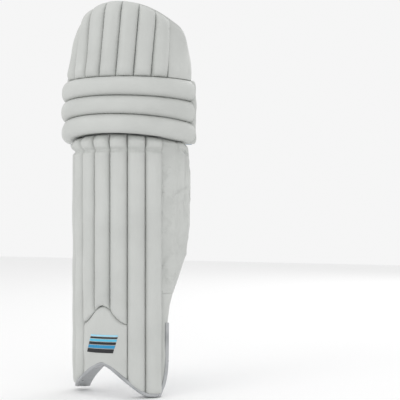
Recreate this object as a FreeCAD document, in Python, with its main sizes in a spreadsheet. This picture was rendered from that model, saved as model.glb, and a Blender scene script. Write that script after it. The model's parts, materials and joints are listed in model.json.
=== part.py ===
"""Cricket leg pad, right-hand version with its wing on +X, as a parametric FreeCAD document.

Frame: +Z up the shin, -Y is the struck front face, +Y is the leg side, +X is the wing side.
The origin is under the middle of the pad, level with the tips of its two bottom lobes.
Angles go round the vertical leg axis: 0 points to the front (-Y), positive towards the wing (+X).
"""
import FreeCAD
import Part
import math
import os

V = FreeCAD.Vector
BIG = 400.0           # side of the boxes that only cut, mm
THROUGH = 300.0       # depth of the outline tools that go right through the pad, mm

DIMENSIONS = [
    ("axis_x", -0.9, "leg axis, across"),
    ("axis_y", 65.4, "leg axis, front to back"),
    ("edge_angle", -70.0, "edge of the shin away from the wing"),
    ("channel_pitch", 17.8, "angle of one shin channel"),
    ("lining_radius", 86.0, "inside of the shin lining"),
    ("board_radius", 88.0, "inside of the liner board"),
    ("channel_base", 92.0, "back of the shin channels"),
    ("channel_seam", 104.0, "depth of the seam between two channels"),
    ("channel_crest", 114.0, "crest of a shin channel"),
    ("cane_ring", 100.0, "circle that the canes stand on"),
    ("cane_radius", 4.0, "cane rod"),
    ("binding_height", 4.0, "bound hem along the bottom"),
    ("instep_radius", 49.0, "arched seam over the instep"),
    ("instep_centre_x", -12.0, "centre of that arch, across"),
    ("instep_centre_z", 117.0, "centre of that arch, up"),
    ("instep_face", 106.0, "front of the instep guard"),
    ("knee_seam_z", 473.5, "seam under the lowest knee roll, at the front"),
    ("knee_seam_tilt", 9.0, "how far that seam droops to the back"),
    ("knee_ring", 118.7, "centre line of the knee rolls"),
    ("roll_radius", 16.2, "section of a knee roll"),
    ("core_radius", 6.0, "foam core inside a roll"),
    ("knee_left", -80.0, "end of the knee rolls away from the wing"),
    ("knee_right", 86.0, "end of the knee rolls over the wing"),
    ("backing_in", 95.5, "inside of the knee backing board"),
    ("backing_out", 100.4, "outside of the knee backing board"),
    ("knee_lining_in", 90.5, "inside of the knee lining"),
    ("knee_top_z", 575.0, "seam between knee and top flap"),
    ("flap_pitch", 15.4, "angle of one flap channel"),
    ("flap_first", -52.2, "first seam of the flap channels"),
    ("flap_base", 109.0, "back of the flap channels"),
    ("flap_crest", 128.0, "crest of a flap channel"),
    ("flap_seam", 119.0, "depth of the seams in the flap"),
    ("flap_foam_in", 105.0, "inside of the flap's foam sheet"),
    ("flap_lining_in", 101.0, "inside of the flap's lining"),
    ("flap_lean", 5.5, "sideways lean of the flap towards the wing"),
    ("flap_pivot", -60.0, "bending line of the flap, behind the front"),
    ("flap_relief", 16.5, "relief under the flap behind its bending line"),
    ("dome_rise", 135.0, "height of the flap's dome above the knee"),
    ("dome_half_width", 127.0, "half width of the dome"),
    ("dome_centre_x", 16.0, "middle of the dome, across from the leg axis"),
    ("bolster_half_width", 31.0, "centre bolster, across"),
    ("bolster_face", -70.0, "flat face that the shin rests on, from the leg axis"),
    ("bolster_low", 104.0, "lower end of the centre bolster"),
    ("bolster_high", 452.0, "upper end of the centre bolster"),
    ("mesh_low", 220.0, "lower end of the two mesh bolsters"),
    ("wing_angle", 42.0, "direction that the wing flares in"),
    ("wing_thickness", 14.0, "padded wing"),
    ("wing_low", 186.5, "lower end of the wing"),
    ("wing_high", 454.0, "upper end of the wing"),
    ("wing_lining", 1.5, "lining on the wing's inner face"),
    ("wing_width", 60.0, "wing at its widest"),
    ("strap_width", 65.0, "calf and ankle webbing"),
    ("knee_strap_width", 34.0, "knee webbing"),
    ("strap_thickness", 2.6, "webbing"),
    ("patch_thickness", 1.2, "hook and loop patches"),
    ("patch_overhang", 6.0, "loop patch shows above and below its strap"),
]

doc = FreeCAD.newDocument("leg_pad")
sheet = doc.addObject("Spreadsheet::Sheet", "dims")
for row, (alias, value, meaning) in enumerate(DIMENSIONS, start=1):
    sheet.set(f"A{row}", meaning)
    sheet.set(f"B{row}", str(value))
    sheet.setAlias(f"B{row}", alias)
doc.recompute()

NODES = []


def dim(alias):
    """The value of one cell, in millimetres or degrees."""
    return float(sheet.get(alias))


def bind(obj, **formulas):
    """Drive properties of an object by formulas on the sheet."""
    for name, formula in formulas.items():
        obj.setExpression(name, formula)
    return obj


def node(obj, label):
    """Mark an object as a piece that is written out under this name."""
    obj.Label = label
    NODES.append(obj)
    return obj


def on_axis(z=0.0, turn=0.0, tilt=0.0):
    """A place on the leg axis at height z, tilted down to the back, then turned about itself."""
    seat = FreeCAD.Placement(V(dim("axis_x"), dim("axis_y"), z), FreeCAD.Rotation(V(1, 0, 0), -tilt))
    return seat.multiply(FreeCAD.Placement(V(), FreeCAD.Rotation(V(0, 0, 1), turn)))


def polar(radius, angle):
    """A point round the leg axis, measured from that axis."""
    return radius * math.sin(math.radians(angle)), -radius * math.cos(math.radians(angle))


def boolean(kind, base, tool, name):
    result = doc.addObject("Part::" + kind, name)
    result.Base = base
    result.Tool = tool
    return result


def cut(base, tool, name):
    return boolean("Cut", base, tool, name)


def common(base, tool, name):
    return boolean("Common", base, tool, name)


def fuse(base, tool, name):
    return boolean("Fuse", base, tool, name)


def sector(name, radius, low, height, start, sweep):
    """A solid cylinder sector round the leg axis."""
    obj = doc.addObject("Part::Cylinder", name)
    bind(obj, Radius=radius, Height=height)
    obj.Angle = sweep
    obj.Placement = on_axis(low, start - 90.0)
    return obj


def ring(name, inner, outer, low, height, start, sweep):
    """A curved sheet round the leg axis, between two radii."""
    outside = sector(name + "_outside", outer, low, height, start, sweep)
    inside = sector(name + "_inside", inner, low - 1.0, f"{height} + 2", start - 1.0, sweep + 2.0)
    return cut(outside, inside, name)


def origin_plane(body, role):
    return next(plane for plane in body.Origin.OriginFeatures if plane.Role == role)


def body_with_pad(name, plane, edges, length, midplane=False):
    """A PartDesign body: one closed sketch on an origin plane, padded by a length from the sheet."""
    body = doc.addObject("PartDesign::Body", name)
    sketch = body.newObject("Sketcher::SketchObject", name + "_sketch")
    sketch.AttachmentSupport = (origin_plane(body, plane), [""])
    sketch.MapMode = "FlatFace"
    sketch.addGeometry(edges, False)
    pad = body.newObject("PartDesign::Pad", name + "_pad")
    pad.Profile = sketch
    pad.Midplane = midplane
    pad.setExpression("Length", length)
    sketch.Visibility = False
    return body


def polygon(points):
    """Sketch lines round a closed list of points."""
    corners = [V(x, y, 0) for x, y in points]
    return [Part.LineSegment(a, b) for a, b in zip(corners, corners[1:] + corners[:1])]


def round_edges(body, name, spots, reach):
    """Fillet the edges that cross an outline at the given corners; spots is [(x, z, radius), ...]."""
    doc.recompute()
    for index, (x, z, radius) in enumerate(spots):
        rough = body.Tip
        names = []
        for number, edge in enumerate(rough.Shape.Edges, start=1):
            middle = edge.CenterOfMass
            if abs(middle.x - x) < 0.5 and abs(middle.z - z) < 0.5 and edge.Length > reach:
                names.append(f"Edge{number}")
        fillet = body.newObject("PartDesign::Fillet", f"{name}_{index}")
        fillet.Base = (rough, names)
        fillet.Radius = radius
        doc.recompute()


# ---------------------------------------------------------------- outline tools

def shin_outline(name, lift):
    """The pad's front outline below the knee: two bottom lobes and the arch between them."""
    middle = -11.0
    points = [(-150, 600), (-150, 46), (-111, 46), (-99, 0), (middle, 67), (64, 0), (92, 0), (108, 44),
              (150, 44), (150, 600)]
    body = body_with_pad(name, "XZ_Plane", polygon(points), str(THROUGH), midplane=True)
    round_edges(body, name + "_round", [(middle, 67, 34), (-99, 0, 9), (64, 0, 30), (92, 0, 22)], 50)
    body.Placement = FreeCAD.Placement(V(0, 0, lift), FreeCAD.Rotation())
    return body


outline = shin_outline("shin_outline", 0.0)
inner_outline = shin_outline("shin_outline_inside_hem", dim("binding_height"))

above_knee_seam = doc.addObject("Part::Box", "above_knee_seam")
bind(above_knee_seam, Length=str(BIG), Width=str(BIG), Height=str(BIG))
seam_turn = FreeCAD.Rotation(V(1, 0, 0), -dim("knee_seam_tilt"))
seam_front = V(dim("axis_x") - BIG / 2, dim("axis_y") - dim("knee_ring"), dim("knee_seam_z"))
seam_shift = FreeCAD.Placement(V(0, -BIG / 4, 0), FreeCAD.Rotation())
above_knee_seam.Placement = FreeCAD.Placement(seam_front, seam_turn).multiply(seam_shift)

SHOULDER = 10.0       # how far the seam runs on sideways from the foot of its arch
instep_arch = doc.addObject("Part::Cylinder", "instep_arch")
bind(instep_arch, Radius="dims.instep_radius", Height=str(THROUGH))
arch_turn = FreeCAD.Rotation(V(1, 0, 0), 90)
instep_arch.Placement = FreeCAD.Placement(
    V(dim("instep_centre_x"), THROUGH / 2, dim("instep_centre_z")), arch_turn)
instep_leg = doc.addObject("Part::Box", "instep_below_arch")
bind(instep_leg, Length=f"2 * (dims.instep_radius + {SHOULDER})", Width=str(THROUGH),
     Height="dims.instep_centre_z + 18")
instep_leg.Placement = FreeCAD.Placement(
    V(dim("instep_centre_x") - dim("instep_radius") - SHOULDER, -THROUGH / 2, -10), FreeCAD.Rotation())
instep_region = fuse(instep_arch, instep_leg, "instep_region")


# ---------------------------------------------------------------- shin

SHIN_CHANNELS = 7
INSTEP_CHANNELS = (3, 4, 5)          # these end at the arched seam over the instep
CANE_TOP = 440.0
shin_sweep = SHIN_CHANNELS * dim("channel_pitch")
shin_end = dim("edge_angle") + shin_sweep


def crown_radius(base, crest, sweep):
    """Radius of the crown that meets both seams of a channel and its crest."""
    half = base * math.sin(math.radians(sweep / 2))
    rise = crest - base * math.cos(math.radians(sweep / 2))
    return (half * half + rise * rise) / (2 * rise)


def crowned_channel(name, base, seam, crest, low, height, start, sweep):
    """A channel: a wedge round the leg axis whose front is a crown between its two seams."""
    crown_r = crown_radius(dim(seam), dim(crest), sweep)
    wedge = sector(name + "_wedge", f"dims.{crest} + 5", low, height, start, sweep)
    crown = doc.addObject("Part::Cylinder", name + "_crown")
    bind(crown, Height=height)
    crown.Radius = crown_r
    x, y = polar(dim(crest) - crown_r, start + sweep / 2)
    crown.Placement = FreeCAD.Placement(V(dim("axis_x") + x, dim("axis_y") + y, low), FreeCAD.Rotation())
    back = sector(name + "_back", f"dims.{base}", low - 1.0, f"{height} + 2", 0.0, 360.0)
    return cut(common(wedge, crown, name + "_front"), back, name + "_solid")


def below_knee(obj, name):
    return cut(common(obj, inner_outline, name + "_trimmed"), above_knee_seam, name)


canes = []
for number in range(1, SHIN_CHANNELS + 1):
    start_angle = dim("edge_angle") + (number - 1) * dim("channel_pitch")
    over_instep = number in INSTEP_CHANNELS
    name = f"shin_channel_{number}"
    channel = crowned_channel(name, "channel_base", "channel_seam", "channel_crest",
                              -1.0, "dims.knee_seam_z + 10", start_angle, dim("channel_pitch"))
    channel = below_knee(channel, name + "_long")
    if over_instep:
        channel = cut(channel, instep_region, name + "_short")
    cane_low = 178.0 if over_instep else 52.0
    x, y = polar(dim("cane_ring"), start_angle + dim("channel_pitch") / 2)
    bore = doc.addObject("Part::Cylinder", name + "_bore")
    bind(bore, Radius="dims.cane_radius + 0.1")
    bore.Height = CANE_TOP - cane_low + 2.0
    bore.Placement = FreeCAD.Placement(
        V(dim("axis_x") + x, dim("axis_y") + y, cane_low - 1.0), FreeCAD.Rotation())
    node(cut(channel, bore, name), name)
    cane = doc.addObject("Part::Cylinder", f"cane_{number}")
    bind(cane, Radius="dims.cane_radius")
    cane.Height = CANE_TOP - cane_low
    cane.Placement = FreeCAD.Placement(
        V(dim("axis_x") + x, dim("axis_y") + y, cane_low), FreeCAD.Rotation())
    canes.append(cane)
cane_group = doc.addObject("Part::Compound", "shin_canes")
cane_group.Links = canes
node(cane_group, "shin_canes")

board = ring("board_ring", "dims.board_radius", "dims.channel_base", -1.0, "dims.knee_seam_z + 10",
             dim("edge_angle"), shin_sweep)
node(below_knee(board, "shin_liner_board"), "shin_liner_board")

SHIN_LINING_LOW = dim("bolster_low") + 0.5
lining = ring("lining_ring", "dims.lining_radius", "dims.board_radius", SHIN_LINING_LOW,
              "dims.knee_seam_z", dim("edge_angle"), shin_sweep)
node(cut(lining, above_knee_seam, "shin_lining"), "shin_lining")

instep_back = ring("instep_back_ring", "dims.lining_radius - 5", "dims.board_radius", -1.0,
                   "dims.bolster_low + 1", dim("edge_angle"), shin_sweep)
node(common(instep_back, inner_outline, "instep_lining"), "instep_lining")

instep_start = dim("edge_angle") + (INSTEP_CHANNELS[0] - 1) * dim("channel_pitch")
guard = ring("guard_ring", "dims.channel_base", "dims.instep_face", -1.0, "200", instep_start,
             len(INSTEP_CHANNELS) * dim("channel_pitch"))
guard = common(guard, instep_region, "guard_arched")
node(common(guard, inner_outline, "instep_guard"), "instep_guard")

hem = ring("hem_ring", "dims.lining_radius - 5", "dims.instep_face", -1.0, "80", dim("edge_angle"),
           shin_sweep)
hem = common(hem, outline, "hem_in_outline")
node(cut(hem, inner_outline, "bottom_binding"), "bottom_binding")

piping = doc.addObject("Part::Cylinder", "inner_edge_piping")
bind(piping, Radius="3.2", Height="dims.wing_high - 60")
x, y = polar((dim("channel_base") + dim("channel_seam")) / 2, dim("edge_angle") - 2.3)
piping.Placement = FreeCAD.Placement(V(dim("axis_x") + x, dim("axis_y") + y, 58.0), FreeCAD.Rotation())
node(piping, "inner_edge_piping")


# ---------------------------------------------------------------- knee rolls

ROLLS = [("knee_roll_upper", 558.3, 2.2), ("knee_roll_middle", 525.0, 5.7), ("knee_roll_lower", 490.6, 8.5)]
knee_sweep = dim("knee_right") - dim("knee_left")
CORE_INSET = 6.0      # degrees that a core stops short of its roll's ends


def roll_torus(name, radius, centre_z, tilt, start, sweep):
    """Part of a torus round the leg axis that droops to the back."""
    torus = doc.addObject("Part::Torus", name)
    bind(torus, Radius1="dims.knee_ring", Radius2=radius)
    torus.Angle3 = sweep
    torus.Placement = on_axis(centre_z, start - 90.0, tilt)
    return torus


cores = []
for name, front_z, tilt in ROLLS:
    centre_z = front_z - dim("knee_ring") * math.sin(math.radians(tilt))
    roll = roll_torus(name + "_solid", "dims.roll_radius", centre_z, tilt, dim("knee_left"), knee_sweep)
    core_start = dim("knee_left") + CORE_INSET
    core_sweep = knee_sweep - 2 * CORE_INSET
    hollow = roll_torus(name + "_hollow", "dims.core_radius + 0.1", centre_z, tilt, core_start - 0.5,
                        core_sweep + 1.0)
    node(cut(roll, hollow, name), name)
    cores.append(roll_torus(name + "_core", "dims.core_radius", centre_z, tilt, core_start, core_sweep))
core_group = doc.addObject("Part::Compound", "knee_roll_cores")
core_group.Links = cores
node(core_group, "knee_roll_cores")

for label, inner, outer in (("knee_backing_board", "dims.backing_in", "dims.backing_out"),
                            ("knee_lining", "dims.knee_lining_in", "dims.backing_in")):
    band = ring(label + "_ring", inner, outer, 440.0, "dims.knee_top_z - 440", dim("knee_left"), knee_sweep)
    node(common(band, above_knee_seam, label), label)


# ---------------------------------------------------------------- knee locator on the back

def hexagon_prism(name, points):
    return body_with_pad(name, "XZ_Plane", polygon([(x + dim("axis_x"), z) for x, z in points]),
                         str(THROUGH), midplane=True)


LOCATOR = [(-23, 572), (23, 572), (62, 514), (46, 489), (-46, 489), (-62, 514)]
BADGE_Z = 530.0
badge_points = [(-14, 28), (14, 28), (27, 0), (14, -28), (-14, -28), (-27, 0)]
BADGE = [(x, BADGE_Z + z) for x, z in badge_points]

locator_shell = ring("locator_ring", "dims.knee_lining_in - 12", "dims.knee_lining_in", 480.0, "100",
                     -50.0, 100.0)
node(common(locator_shell, hexagon_prism("locator_hexagon", LOCATOR), "knee_locator_pad"),
     "knee_locator_pad")
badge_shell = ring("badge_ring", "dims.knee_lining_in - 15", "dims.knee_lining_in - 12", 480.0, "100",
                   -30.0, 60.0)
node(common(badge_shell, hexagon_prism("badge_hexagon", BADGE), "knee_locator_badge"),
     "knee_locator_badge")


# ---------------------------------------------------------------- bolsters on the back

bolster_box = doc.addObject("Part::Box", "bolster_box")
bind(bolster_box, Length="2 * dims.bolster_half_width", Width="60",
     Height="dims.bolster_high - dims.bolster_low")
bolster_box.Placement = FreeCAD.Placement(
    V(dim("axis_x") - dim("bolster_half_width"), dim("axis_y") + dim("bolster_face") - 60.0,
      dim("bolster_low")), FreeCAD.Rotation())
bolster_back = sector("bolster_back", "dims.lining_radius", dim("bolster_low") - 1, "dims.bolster_high",
                      0.0, 360.0)
node(common(bolster_box, bolster_back, "centre_bolster"), "centre_bolster")

bolster_length = "dims.bolster_high - dims.bolster_low"
mesh_length = "dims.bolster_high - dims.mesh_low"
ankle_length = "dims.mesh_low - dims.bolster_low - 0.5"
BOLSTERS = [
    ("bolster_band_wing_side", 7.0, dim("bolster_low"), bolster_length, 23.6, 9.0),
    ("bolster_band_inner_side", 7.0, dim("bolster_low"), bolster_length, -32.6, 9.0),
    ("mesh_bolster_wing_side", 14.0, dim("mesh_low"), mesh_length, 33.0, 14.0),
    ("mesh_bolster_inner_side", 14.0, dim("mesh_low"), mesh_length, -66.0, 33.0),
    ("ankle_bolster_wing_side", 10.0, dim("bolster_low"), ankle_length, 33.0, 14.0),
    ("ankle_bolster_inner_side", 10.0, dim("bolster_low"), ankle_length, -66.0, 33.0),
]
for label, depth, low, length, start, sweep in BOLSTERS:
    node(ring(label, f"dims.lining_radius - {depth}", "dims.lining_radius", low, length, start, sweep),
         label)


# ---------------------------------------------------------------- top flap

FLAP_CHANNELS = 7
FLAP_LOW = dim("knee_top_z") + 0.5
flap_end = dim("flap_first") + FLAP_CHANNELS * dim("flap_pitch")
flap_height = "dims.dome_rise + 40"

below_flap = doc.addObject("Part::Box", "below_flap")
bind(below_flap, Length=str(BIG), Width=str(BIG), Height="100")
below_flap.Placement = FreeCAD.Placement(V(-BIG / 2, -BIG / 2, FLAP_LOW - 100), FreeCAD.Rotation())
behind_pivot = doc.addObject("Part::Box", "behind_flap_pivot")
bind(behind_pivot, Length=str(BIG), Width=str(BIG), Height="100")
relief_turn = FreeCAD.Rotation(V(1, 0, 0), dim("flap_relief"))
pivot_spot = V(-BIG / 2, dim("axis_y") + dim("flap_pivot"), FLAP_LOW)
behind_pivot.Placement = FreeCAD.Placement(pivot_spot, relief_turn).multiply(
    FreeCAD.Placement(V(0, 0, -100), FreeCAD.Rotation()))
flap_relief = fuse(below_flap, behind_pivot, "flap_relief")

dome_edge = doc.addObject("Part::Ellipse", "dome_edge")
bind(dome_edge, MajorRadius="dims.dome_rise", MinorRadius="dims.dome_half_width")
dome_turn = FreeCAD.Rotation(V(1, 1, 1), -120)
dome_seat = V(dim("axis_x") + dim("dome_centre_x"), -THROUGH / 2, dim("knee_top_z"))
dome_edge.Placement = FreeCAD.Placement(dome_seat, dome_turn)
dome = doc.addObject("Part::Extrusion", "dome")
dome.Base = dome_edge
dome.DirMode = "Custom"
dome.Dir = V(0, 1, 0)
dome.LengthFwd = THROUGH
dome.Solid = True


def lean(obj):
    """Lean a flap piece sideways about the middle of the knee seam."""
    hub = V(dim("axis_x"), dim("axis_y"), dim("knee_top_z"))
    turn = FreeCAD.Rotation(V(0, 1, 0), dim("flap_lean"))
    obj.Placement = FreeCAD.Placement(V(), turn, hub)
    return obj


def flap_piece(solid, label):
    lean(solid)
    node(cut(common(solid, dome, label + "_domed"), flap_relief, label), label)


FLAP_START = dim("knee_top_z") - 20.0
for number in range(1, FLAP_CHANNELS + 1):
    start_angle = dim("flap_first") + (number - 1) * dim("flap_pitch")
    name = f"top_flap_channel_{number}"
    flap_piece(crowned_channel(name, "flap_base", "flap_seam", "flap_crest", FLAP_START, flap_height,
                               start_angle, dim("flap_pitch")), name)

for label, start, sweep in (("top_flap_side_inner", dim("knee_left"), dim("flap_first") - dim("knee_left")),
                            ("top_flap_side_wing", flap_end, dim("knee_right") - flap_end)):
    flap_piece(ring(label + "_ring", "dims.flap_base", "dims.flap_crest - 4", FLAP_START, flap_height,
                    start, sweep), label)
for label, inner, outer in (("top_flap_foam_sheet", "dims.flap_foam_in", "dims.flap_base"),
                            ("top_flap_lining", "dims.flap_lining_in", "dims.flap_foam_in")):
    flap_piece(ring(label + "_ring", inner, outer, FLAP_START, flap_height, dim("knee_left"), knee_sweep),
               label)


# ---------------------------------------------------------------- wing and the strip below it

WING_GAP = 3.5        # root of the wing from the last channel, along the wing
STRIP_WIDTH = 16.5
wing_root = polar(dim("lining_radius") + 4.0, shin_end)


def wing_place(along=0.0, proud=0.0, z=0.0):
    """A place on the wing's inner face: along it from its root, and proud of it towards the leg."""
    turn = math.radians(dim("wing_angle"))
    x = dim("axis_x") + wing_root[0] + along * math.cos(turn) - proud * math.sin(turn)
    y = dim("axis_y") + wing_root[1] + along * math.sin(turn) + proud * math.cos(turn)
    return FreeCAD.Placement(V(x, y, z), FreeCAD.Rotation(V(0, 0, 1), dim("wing_angle")))


TAPER_WIDTH = 28.0    # where the wing's taper meets the strip below it
wing_points = [(WING_GAP, dim("wing_low")), (TAPER_WIDTH, dim("wing_low")), (36, 213), (52, 256),
                (dim("wing_width"), 310), (dim("wing_width"), 402), (56, dim("wing_high")),
               (WING_GAP, dim("wing_high"))]
strip_high = dim("wing_low") - 1.0
strip_points = [(WING_GAP, 22), (STRIP_WIDTH - 4, 34), (STRIP_WIDTH, 60), (STRIP_WIDTH, 133), (22, 165),
                (TAPER_WIDTH - 0.5, strip_high), (WING_GAP, strip_high)]
for padded, lined, points in (("side_wing", "wing_lining", wing_points),
                              ("lower_side_strip", "lower_strip_lining", strip_points)):
    body = body_with_pad(padded, "XZ_Plane", polygon(points), "dims.wing_thickness")
    body.Placement = wing_place()
    node(body, padded)
    body = body_with_pad(lined, "XZ_Plane", polygon(points), "dims.wing_lining")
    body.Placement = wing_place(proud=dim("wing_lining"))
    node(body, lined)


# ---------------------------------------------------------------- straps

def tangent_path(points, radii, offset):
    """Lines and tangent arcs along a path, moved sideways; ends are squared off."""
    moved = []
    headings = []
    for a, b in zip(points, points[1:]):
        headings.append(math.atan2(b[1] - a[1], b[0] - a[0]))
    for index, (x, y) in enumerate(points):
        before = headings[max(index - 1, 0)]
        after = headings[min(index, len(headings) - 1)]
        middle = (before + after) / 2
        reach = offset / math.cos((after - before) / 2)
        moved.append(V(x - reach * math.sin(middle), y + reach * math.cos(middle), 0))
    edges = []
    here = moved[0]
    for index in range(1, len(moved) - 1):
        turn = headings[index] - headings[index - 1]
        radius = radii[index - 1] - math.copysign(1.0, turn) * offset
        trim = radius * math.tan(abs(turn) / 2)
        before = V(math.cos(headings[index - 1]), math.sin(headings[index - 1]), 0)
        after = V(math.cos(headings[index]), math.sin(headings[index]), 0)
        enter = moved[index] - before * trim
        leave = moved[index] + after * trim
        inward = (after - before).normalize()
        bow = radius / math.cos(turn / 2) - radius
        edges.append(Part.LineSegment(here, enter))
        edges.append(Part.Arc(enter, moved[index] + inward * bow, leave))
        here = leave
    edges.append(Part.LineSegment(here, moved[-1]))
    return edges


def band(name, points, radii, inner, outer, length, low):
    """A strip of webbing seen from above, padded to its width."""
    one_side = tangent_path(points, radii, inner)
    other_side = tangent_path(points, radii, outer)
    caps = [Part.LineSegment(one_side[0].StartPoint, other_side[0].StartPoint),
            Part.LineSegment(one_side[-1].EndPoint, other_side[-1].EndPoint)]
    body = body_with_pad(name, "XY_Plane", one_side + other_side + caps, length)
    body.Placement = FreeCAD.Placement(V(dim("axis_x"), dim("axis_y"), low), FreeCAD.Rotation())
    return body


def block(name, size, spot, turn=0.0):
    """A plain block with its size bound to formulas, its corner at a spot from the leg axis."""
    box = doc.addObject("Part::Box", name)
    bind(box, Length=size[0], Width=size[1], Height=size[2])
    box.Placement = FreeCAD.Placement(
        V(dim("axis_x") + spot[0], dim("axis_y") + spot[1], spot[2]), FreeCAD.Rotation(V(0, 0, 1), turn))
    return box


HALF = dim("strap_thickness") / 2
REST_GAP = 0.4        # between a fastened hook patch and its loop patch
landing = 2 * dim("patch_thickness") + REST_GAP + HALF + dim("wing_lining")


def wing_line(along, proud):
    """A point beside the wing's inner face, measured from the leg axis."""
    spot = wing_place(along, proud).Base
    return spot.x - dim("axis_x"), spot.y - dim("axis_y")


def strap(name, points, radii, low, width, hook_length):
    """The webbing, its hook patch on the struck side of its free end, and its folded anchor."""
    node(band(name + "_webbing", points, radii, -HALF, HALF, width, low), name)
    tail = points[-2:]
    length = math.dist(*tail)
    ratio = (length - hook_length) / length
    start = tuple(a + (b - a) * ratio for a, b in zip(*tail))
    end = tuple(a + (b - a) * 0.98 for a, b in zip(*tail))
    hook = band(name + "_hook_patch", [start, end], [], -HALF - dim("patch_thickness"), -HALF,
                width + " - 6", low + 3)
    node(hook, name + "_hook_patch")
    anchor = block(name + "_anchor", ("18", "5", width), (points[0][0] - 18.4, points[0][1] - 3.7, low))
    node(anchor, name + "_anchor")


ANKLE_LOW = 113.5
CALF_LOW = 310.0
KNEE_LOW = 456.0
calf_end = wing_line(58, landing)
calf_turn = wing_line(12, landing)
ankle_end = wing_line(27, landing)
ankle_turn = wing_line(-6, landing)
SEWN_END = (-97.0, -24.8)
strap("calf_strap", [SEWN_END, (0, 1), calf_turn, calf_end], [150, 24], CALF_LOW, "dims.strap_width", 26)
strap("ankle_strap", [SEWN_END, (0, -4), ankle_turn, ankle_end], [130, 16], ANKLE_LOW, "dims.strap_width",
      18)
KNEE_REAR = -5.2      # rear face of the knee's wing-side end, from the leg axis
knee_line = KNEE_REAR + landing
strap("knee_strap", [(-112, -13.9), (0, knee_line + 4), (60, knee_line), (118, knee_line)], [300, 400],
      KNEE_LOW, "dims.knee_strap_width", 34)

loop_height = "dims.strap_width + 2 * dims.patch_overhang"
calf_loop = block("calf_loop_patch", ("36", "dims.patch_thickness", loop_height), (0, 0, 0))
calf_loop.Placement = wing_place(21, dim("wing_lining"), CALF_LOW - dim("patch_overhang"))
node(calf_loop, "calf_loop_patch")
ankle_loop = block("ankle_loop_patch", ("20", "dims.patch_thickness", "dims.wing_low - 108.5"), (0, 0, 0))
ankle_loop.Placement = wing_place(5, dim("wing_lining"), 107.0)
node(ankle_loop, "ankle_loop_patch")
knee_loop = block("knee_loop_patch", ("32", "dims.patch_thickness + 1.5", "dims.knee_strap_width + 8"),
                  (92, KNEE_REAR, KNEE_LOW - 2))
node(knee_loop, "knee_loop_patch")


# ---------------------------------------------------------------- badge on the instep guard

emblem = ring("front_badge", "dims.instep_face", "dims.instep_face + 0.8", 78.0, "36", -31.0, 41.0)
node(emblem, "front_badge")


# ---------------------------------------------------------------- checks and export

doc.recompute()
for obj in doc.Objects:
    if "Invalid" in obj.State or "Error" in obj.State:
        raise RuntimeError(f"{obj.Name} did not compute: {obj.State}")
os.makedirs("parts", exist_ok=True)
for piece in NODES:
    shape = piece.Shape
    if shape.isNull() or not shape.isValid() or not shape.Solids:
        raise RuntimeError(f"{piece.Label} has no valid solid")
    shape.exportStep(os.path.join("parts", piece.Label + ".step"))
whole = Part.makeCompound([piece.Shape for piece in NODES]).optimalBoundingBox(False)
print(f"{len(NODES)} nodes, {whole.XLength:.1f} x {whole.YLength:.1f} x {whole.ZLength:.1f} mm")
print(f"middle at {whole.Center.x:.2f}, {whole.Center.y:.2f}; lowest {whole.ZMin:.2f}")
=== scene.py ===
"""Cricket leg pad: the looks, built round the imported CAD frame. +Z up, -Y the struck face."""
import json
import math

import bmesh
import bpy
import numpy as np
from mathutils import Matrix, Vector

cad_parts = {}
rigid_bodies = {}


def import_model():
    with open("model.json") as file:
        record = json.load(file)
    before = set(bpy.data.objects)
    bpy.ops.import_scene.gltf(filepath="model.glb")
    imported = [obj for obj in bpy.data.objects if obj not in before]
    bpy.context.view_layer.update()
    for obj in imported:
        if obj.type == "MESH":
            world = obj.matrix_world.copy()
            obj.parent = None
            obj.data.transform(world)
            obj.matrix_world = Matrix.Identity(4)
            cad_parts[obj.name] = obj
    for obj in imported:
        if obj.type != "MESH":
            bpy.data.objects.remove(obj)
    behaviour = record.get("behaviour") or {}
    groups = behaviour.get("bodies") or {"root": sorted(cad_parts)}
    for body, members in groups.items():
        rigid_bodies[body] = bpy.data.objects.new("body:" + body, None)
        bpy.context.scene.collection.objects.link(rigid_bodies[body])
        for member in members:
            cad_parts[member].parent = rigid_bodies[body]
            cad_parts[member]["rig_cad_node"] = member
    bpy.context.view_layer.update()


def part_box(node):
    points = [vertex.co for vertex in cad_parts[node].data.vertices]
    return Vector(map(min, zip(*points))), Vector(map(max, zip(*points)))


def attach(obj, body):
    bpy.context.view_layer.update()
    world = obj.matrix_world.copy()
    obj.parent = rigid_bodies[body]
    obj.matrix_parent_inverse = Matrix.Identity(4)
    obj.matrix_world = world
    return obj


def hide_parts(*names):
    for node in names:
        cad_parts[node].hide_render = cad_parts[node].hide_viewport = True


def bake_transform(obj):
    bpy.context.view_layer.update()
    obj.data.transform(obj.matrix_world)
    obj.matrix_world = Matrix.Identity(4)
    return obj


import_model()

METRES = 0.001  # shapes are worked out in millimetres

# ---- places taken from the frame
def cad_corners(node_name):
    """Lower and upper corners of a CAD node, in millimetres."""
    return [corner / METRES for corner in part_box(node_name)]


bolster_low, bolster_high = cad_corners("centre_bolster")
AXIS_X = (bolster_low.x + bolster_high.x) / 2
AXIS_Y = bolster_high.y + 70  # the shin rests 70 mm in front of the leg axis
BOTTOM = cad_corners("bottom_binding")[0].z
KNEE_TOP = cad_corners("knee_backing_board")[1].z
DOME_TOP = cad_corners("top_flap_channel_4")[1].z
WING_LOW, WING_HIGH = (corner.z for corner in cad_corners("side_wing"))

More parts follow.
